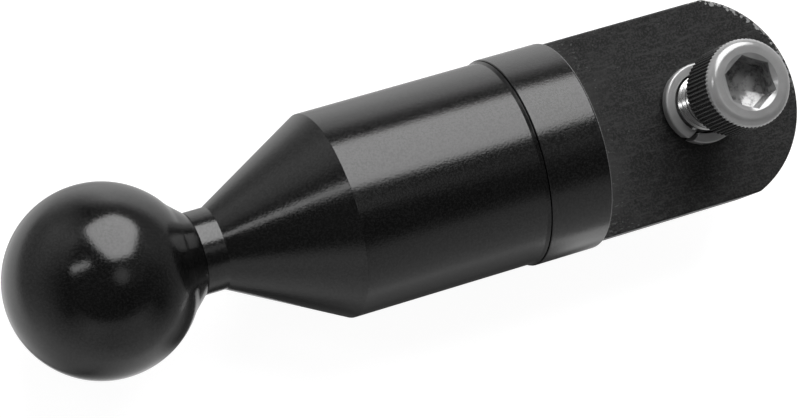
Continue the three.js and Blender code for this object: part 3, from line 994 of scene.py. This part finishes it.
def lock_washer():
    """A split ring of square section whose ends have sprung apart along the screw."""
    thickness = WASHER_HIGH.z - WASHER_LOW.z - 0.3
    rise = 0.3
    slant = 8  # degrees that the split leans over the washer's thickness
    lean = -5.8  # degrees that it leans for each millimetre outward
    section = rounded([
        (WASHER_HOLE_RADIUS, 0, 0.12),
        (WASHER_OUTER_RADIUS, 0, 0.2),
        (WASHER_OUTER_RADIUS, thickness, 0.3),
        (WASHER_HOLE_RADIUS, thickness, 0.12),
    ])
    section = [tuple(point) for point in section]
    middle = ((WASHER_HOLE_RADIUS + WASHER_OUTER_RADIUS) / 2, thickness / 2)
    start = WASHER_SPLIT_ANGLE + WASHER_SPLIT_WIDTH / 2
    sweep = 360 - WASHER_SPLIT_WIDTH
    steps = 180

    def point(radius, height, share):
        turn = slant * (height / thickness - 0.5) + lean * (radius - middle[0])
        angle = math.radians(start + sweep * share + turn)
        return radius * math.cos(angle), radius * math.sin(angle), height + rise * share

    loop = section + section[:1]
    body = np.array([[point(r, h, step / steps) for r, h in loop] for step in range(steps + 1)])
    caps = []
    for share in (0, 1):
        rim = [point(r, h, share) for r, h in loop]
        caps.append(np.array([[point(*middle, share)] * len(loop), rim]))
    return mesh_of("lock_washer_fine", [body] + caps, (SCREW_X, 0, WASHER_LOW.z))


piece("cap_screw", cap_screw(), SCREW_STEEL, "cap_screw", sharp=28)
piece("lock_washer", lock_washer(), SCREW_STEEL, "lock_washer")


# ---------------------------------------------------------------- studio

FLOOR_Z = -0.1 - BAR_RADIUS
FLOOR_RADIUS = 3000
LAMP_DISTANCE = 700
FLOOR_GLOW = 0.93

# Dim patches of ceiling light: direction, how far they reach in degrees, and strength
OVERHEAD = [((0.42, 0.04, 0.90), 20, 0.10), ((0.16, -0.06, 0.98), 11, 0.75)]

# How bright the room is by elevation, at bearings from +X toward +Y, all in degrees: a white table
# below, pale walls low down, and dark above them. The values were set by measured
# reflections, so that the round black surfaces mirror the light that they should.
ROOM = {
    20: [(-90, 1.0), (-10, 0.75), (2, 0.35), (14, 0.35), (32, 0.42), (44, 0.35), (56, 0.08)],
    65: [(-90, 0.5), (-56, 0.7), (-47, 1.1), (-29, 1.6), (-11, 1.8), (-4, 1.0), (3, 0.25), (25, 0.08)],
    86: [(-90, 0.9), (-30, 1.0), (-14, 0.5), (-3, 0.15), (6, 0.07)],
    115: [(-90, 1.2), (-42, 1.2), (-33, 0.45), (-15, 0.45), (5, 0.85), (30, 0.75), (38, 0.2), (46, 0.07)],
    165: [(-90, 1.2), (-42, 1.4), (-32, 0.75), (-26, 0.45), (-5, 0.45), (18, 0.26), (32, 0.08)],
    206: [(-90, 1.0), (-40, 1.0), (-20, 0.86), (6, 0.45), (14, 0.26), (22, 0.1)],
    # At bearings 236 to 292, toward -Y, the dimmer values below the horizon are a painted shadow of the part
    # on the table
    236: [(-90, 0.5), (-52, 0.5), (-22, 0.75), (8, 0.65), (24, 0.68), (30, 0.55), (37, 0.08)],
    260: [(-90, 0.16), (-52, 0.16), (-25, 0.7), (-6, 0.7), (0, 0.55), (33, 0.52), (40, 0.08)],
    292: [(-90, 0.6), (-52, 0.8), (-26, 1.1), (-15, 0.75), (11, 0.65), (32, 0.58), (40, 0.2), (48, 0.06)],
    318: [(-90, 1.1), (-47, 1.1), (-26, 1.0), (-12, 0.6), (5, 0.3), (20, 0.08)],
    350: [(-90, 1.0), (-17, 0.7), (0, 0.35), (13, 0.3), (30, 0.15), (48, 0.09)],
}


def softbox(name, directions, strength, rounding):
    """A flat lamp whose corners lie in these directions from the part, unseen by the camera."""
    corners = [Vector(d).normalized() for d in directions]
    middle = sum(corners, Vector()).normalized()
    side = middle.orthogonal().normalized()
    up = middle.cross(side)
    flat = [corner / corner.dot(middle) for corner in corners]
    outline = rounded([(f.dot(side), f.dot(up), rounding) for f in flat])
    points = [LAMP_DISTANCE * MM * (middle + side * p[0] + up * p[1]) for p in outline]
    mesh = bpy.data.meshes.new(name)
    mesh.from_pydata(points, [], [list(range(len(points)))])
    material = bpy.data.materials.new(name)
    material.use_nodes = True
    tree = Nodes(material.node_tree)
    lamp_shader = tree.add("ShaderNodeEmission", Strength=strength)
    output = tree.add("ShaderNodeOutputMaterial")
    tree.links.new(lamp_shader.outputs[0], output.inputs["Surface"])
    mesh.materials.append(material)
    lamp = bpy.data.objects.new(name, mesh)
    bpy.context.scene.collection.objects.link(lamp)
    lamp.visible_camera = False


def white_floor():
    """A white table that the part lies on, lit from below so that it stays nearly white."""
    angles = np.linspace(0, TAU, 97)[:-1]
    rim = [(FLOOR_RADIUS * math.cos(a), FLOOR_RADIUS * math.sin(a), FLOOR_Z) for a in angles]
    mesh = bpy.data.meshes.new("floor")
    mesh.from_pydata([Vector(p) * MM for p in rim], [], [list(range(len(rim)))])
    surface = Surface("white_table", Roughness=0.9)
    surface.shader.inputs["Emission Color"].default_value = grey(1.0)
    surface.shader.inputs["Emission Strength"].default_value = FLOOR_GLOW
    mottle = surface.noise(surface.place, scale=9, detail=3)
    shade = surface.mix(surface.ramp(mottle, 0.3, 0.7), grey(0.30), grey(0.34))
    mesh.materials.append(surface.finish(Base_Color=shade))
    floor = bpy.data.objects.new("floor", mesh)
    bpy.context.scene.collection.objects.link(floor)
    floor.visible_glossy = False


def table_shadow():
    """A card that only reflections see, for the table's shading in the part's glossy lower side."""
    near, far, left, right = -12, -64, 0, 100
    corners = [(left, near), (left, far), (right, far), (right, near)]
    mesh = bpy.data.meshes.new("table_shadow")
    mesh.from_pydata([(x * MM, y * MM, (FLOOR_Z + 0.05) * MM) for x, y in corners], [], [(0, 1, 2, 3)])
    material = bpy.data.materials.new("table_shadow")
    material.use_nodes = True
    tree = Nodes(material.node_tree)
    x, y, _ = tree.axes(tree.add("ShaderNodeTexCoord").outputs["Object"])
    along = tree.math("ADD", x, tree.math("MULTIPLY", y, 0.53))
    outward = tree.ramp(y, -22 * MM, -62 * MM, 0.08, 0.75, smooth=False)
    beyond = tree.math("ADD", x, tree.math("MULTIPLY", y, 0.3))
    below_collar = tree.ramp(beyond, 57 * MM, 64 * MM)
    past_collar = tree.math("MULTIPLY", below_collar, tree.ramp(y, -20 * MM, -30 * MM))
    shade = tree.add("ShaderNodeEmission", Strength=tree.math("ADD", outward, past_collar))
    starts = tree.ramp(along, -3 * MM, 9 * MM)
    ends = tree.ramp(along, 56 * MM, 68 * MM, 1.0, 0.0)
    share = tree.math("MULTIPLY", starts, ends)
    share = tree.math("MULTIPLY", share, tree.ramp(y, far * MM, -54 * MM))
    both = tree.add("ShaderNodeMixShader", Fac=share)
    tree.links.new(tree.add("ShaderNodeBsdfTransparent").outputs[0], both.inputs[1])
    tree.links.new(shade.outputs[0], both.inputs[2])
    output = tree.add("ShaderNodeOutputMaterial")
    tree.links.new(both.outputs[0], output.inputs["Surface"])
    mesh.materials.append(material)
    card = bpy.data.objects.new("table_shadow", mesh)
    bpy.context.scene.collection.objects.link(card)
    card.visible_camera = False
    card.visible_diffuse = False
    card.visible_shadow = False


def studio_room():
    """The room's light by direction, with the dim patches overhead."""
    world = bpy.data.worlds.new("studio")
    bpy.context.scene.world = world
    world.use_nodes = True
    tree = Nodes(world.node_tree)
    direction = tree.add("ShaderNodeTexCoord").outputs["Generated"]
    x, y, z = tree.axes(direction)
    bearing = tree.math("MULTIPLY", tree.math("ARCTAN2", y, x), 180 / math.pi)
    height = tree.math("MULTIPLY", tree.math("ARCSINE", z), 180 / math.pi)

    total = 0.0
    bearings = sorted(ROOM)
    for index, middle in enumerate(bearings):
        before = (middle - bearings[index - 1]) % 360
        after = (bearings[(index + 1) % len(bearings)] - middle) % 360
        off = tree.wrapped(tree.math("SUBTRACT", bearing, middle), -180, 180)
        rising = tree.ramp(off, -before, 0.0, smooth=False)
        falling = tree.ramp(off, 0.0, after, 1.0, 0.0, smooth=False)
        share = tree.math("MULTIPLY", rising, falling)
        light = tree.profile(height, ROOM[middle])
        total = tree.math("ADD", total, tree.math("MULTIPLY", share, light))

    for middle, reach, strength in OVERHEAD:
        nearness = tree.dot(direction, Vector(middle).normalized())
        edge = math.cos(math.radians(reach))
        core = math.cos(math.radians(reach * 0.5))
        total = tree.math("ADD", total, tree.ramp(nearness, edge, core, 0.0, strength))

    background = tree.add("ShaderNodeBackground")
    tree.put(background.inputs["Strength"], total)
    output = tree.add("ShaderNodeOutputWorld")
    tree.links.new(background.outputs[0], output.inputs["Surface"])


softbox(
    "main_softbox",
    [
        (-0.17, 0.88, 0.45),
        (0.40, 0.88, 0.26),
        (0.63, 0.71, 0.33),
        (0.68, 0.58, 0.46),
        (0.46, 0.25, 0.86),
        (0.03, 0.27, 0.96),
        (-0.13, 0.60, 0.79),
    ],
    4.8,
    0.2,
)
softbox(
    "side_softbox",
    [(-0.66, 0.37, 0.65), (-0.67, 0.25, 0.70), (-0.34, 0.29, 0.89), (-0.35, 0.40, 0.85)],
    3.3,
    0.02,
)
white_floor()
table_shadow()
studio_room()


# ---------------------------------------------------------------- camera

CAMERA_PLACE = Vector((-119.46, -24.26, 454.07))
CAMERA_UP = Vector((0.26625, 0.95353, 0.14103))
CAMERA_BACK = Vector((-0.33330, -0.04622, 0.94169))
CAMERA_LENS = 166.3
CAMERA_SHIFT = 0.0006  # of the frame's width


def camera():
    data = bpy.data.cameras.new("camera")
    data.lens = CAMERA_LENS
    data.sensor_width = 36
    data.shift_x = -CAMERA_SHIFT
    data.shift_y = CAMERA_SHIFT
    data.clip_start = 0.01
    data.clip_end = 20
    thing = bpy.data.objects.new("camera", data)
    bpy.context.scene.collection.objects.link(thing)
    back = CAMERA_BACK.normalized()
    right = CAMERA_UP.cross(back).normalized()
    up = back.cross(right)
    turn = Matrix((right, up, back)).transposed().to_4x4()
    thing.matrix_world = Matrix.Translation(CAMERA_PLACE * MM) @ turn
    bpy.context.scene.camera = thing


camera()
bpy.context.scene.view_settings.view_transform = "Standard"
